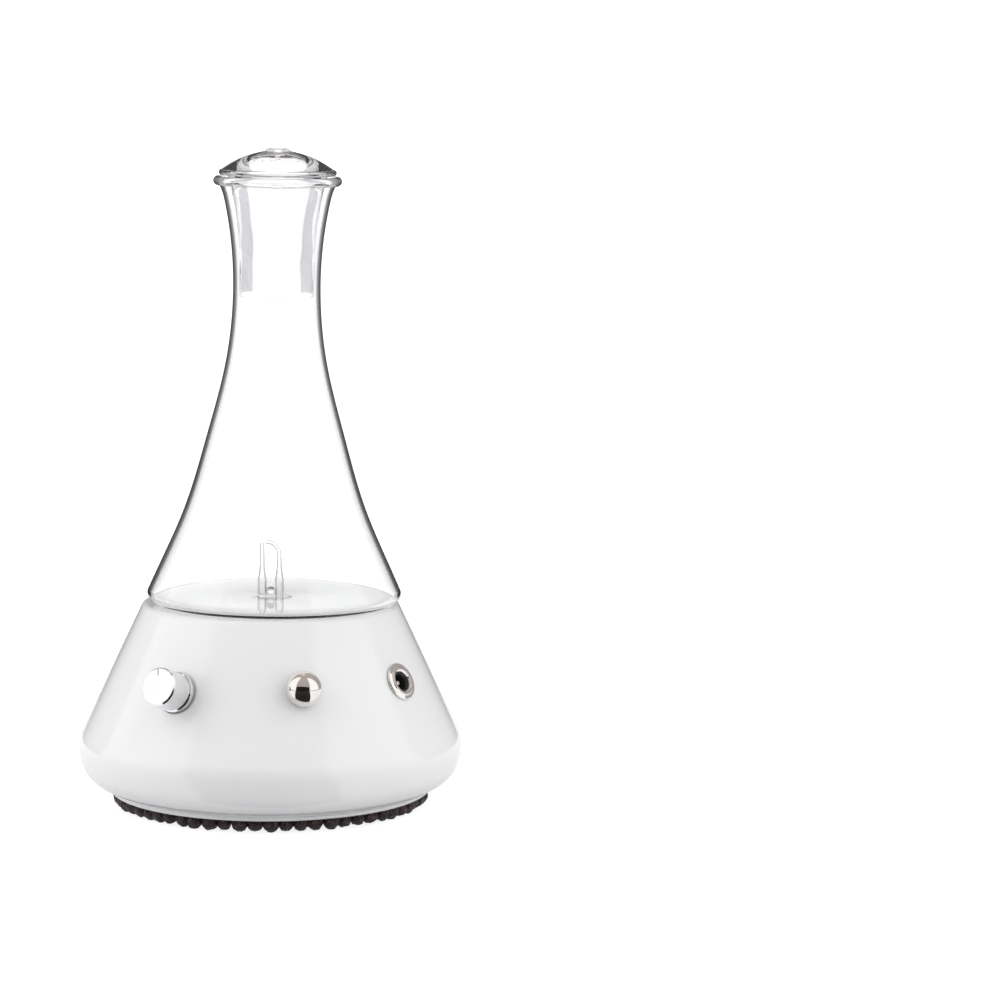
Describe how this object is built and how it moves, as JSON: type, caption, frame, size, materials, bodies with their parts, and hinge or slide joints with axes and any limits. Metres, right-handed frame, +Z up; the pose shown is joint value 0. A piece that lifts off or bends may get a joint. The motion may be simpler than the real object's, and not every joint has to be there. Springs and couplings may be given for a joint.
{
  "type": "essential oil diffuser",
  "caption": "nebulizing oil diffuser: clear glass flask and stopper on a glossy white conical base with knob, touch ball and power socket",
  "frame": {"origin": "on the floor, at the centre of the ring of stones, on the axis of the base and the flask", "axes": "+Z up along the axis of the base and flask; -Y towards the touch ball at the front; +X to the right when looking at the front"},
  "size_m": [0.1584, 0.1584, 0.2696],
  "materials": {
    "white_glaze": "glossy white",
    "cover_white": "satin white",
    "clear_glass": "clear blown glass",
    "lava_stone": "rough dark lava stone",
    "screw_steel": "plain steel",
    "silicone": "soft translucent silicone",
    "black_rubber": "matte black rubber",
    "foam": "open-cell foam",
    "opal_plastic": "opal diffusing plastic",
    "black_plastic": "matte black moulding",
    "grey_plastic": "matte grey moulding",
    "board_green": "lacquered circuit board",
    "led_white": "white LED package",
    "motor_steel": "plated steel",
    "brass": "turned brass",
    "copper": "copper",
    "ferrite": "dark grey ferrite",
    "carbon": "carbon",
    "cap_sleeve": "dark sleeve",
    "header_white": "nylon plug housing",
    "wire_jacket": "wire insulation",
    "knob_aluminium": "turned and bright-cut aluminium",
    "chrome": "polished chrome"
  },
  "bodies": {
    "base": {"air_hose": "silicone", "board_screws": "screw_steel", "bottom_cover": "cover_white", "capacitors": "cap_sleeve", "connecting_rod": "grey_plastic", "control_body": "grey_plastic", "control_bushing": "brass", "control_chip": "black_plastic", "control_nut": "screw_steel", "control_washer": "screw_steel", "cover_screws": "screw_steel", "crank_case": "grey_plastic", "diaphragm": "black_rubber", "housing_shell": "white_glaze", "inlet_filter": "foam", "jack_bezel": "chrome", "jack_contact": "screw_steel", "jack_core": "black_plastic", "jack_nut": "screw_steel", "jack_pin": "chrome", "lava_beads": "lava_stone", "led_board": "board_green", "led_board_pins": "screw_steel", "light_leds": "led_white", "light_lens": "opal_plastic", "main_board": "board_green", "motor_brushes": "carbon", "motor_bushes": "brass", "motor_can": "motor_steel", "motor_end_cap": "black_plastic", "motor_magnets": "ferrite", "motor_terminals": "brass", "power_inductor": "ferrite", "pump_bolts": "screw_steel", "pump_head": "black_plastic", "pump_mounts": "black_rubber", "pump_strap": "motor_steel", "stem_seal": "silicone", "stem_socket": "opal_plastic", "strap_screws": "screw_steel", "touch_ball": "chrome", "touch_bush": "black_plastic", "touch_nut": "screw_steel", "valve_plate": "grey_plastic", "wire_headers": "header_white", "wiring": "wire_jacket"},
    "flask": {"glass_flask": "clear_glass", "oil_feed_tube": "clear_glass", "air_jet_tube": "clear_glass", "tube_bridge": "clear_glass"},
    "stopper": {"glass_stopper": "clear_glass"},
    "pump_rotor": {"rotor_shaft": "screw_steel", "rotor_core": "motor_steel", "rotor_windings": "copper", "commutator": "copper", "crank": "brass"},
    "knob": {"knob_shell": "knob_aluminium", "knob_insert": "black_plastic", "control_shaft": "brass"}
  },
  "joints": [
    {"name": "flask_lift", "type": "slide", "parent": "base", "child": "flask", "axis": [0, 0, 1], "range_m": [0, 0.03]},
    {"name": "stopper_lift", "type": "slide", "parent": "flask", "child": "stopper", "axis": [0.008, 0, 1], "range_m": [0, 0.06]},
    {"name": "knob_turn", "type": "hinge", "parent": "base", "child": "knob", "pos_m": [-0.04712, -0.04614, 0.055], "axis": [-0.6714, -0.6575, 0.342], "range_deg": [-150, 150]},
    {"name": "rotor_spin", "type": "hinge", "parent": "base", "child": "pump_rotor", "pos_m": [-0.02, 0, 0.024], "axis": [1, 0, 0], "continuous": true}
  ]
}
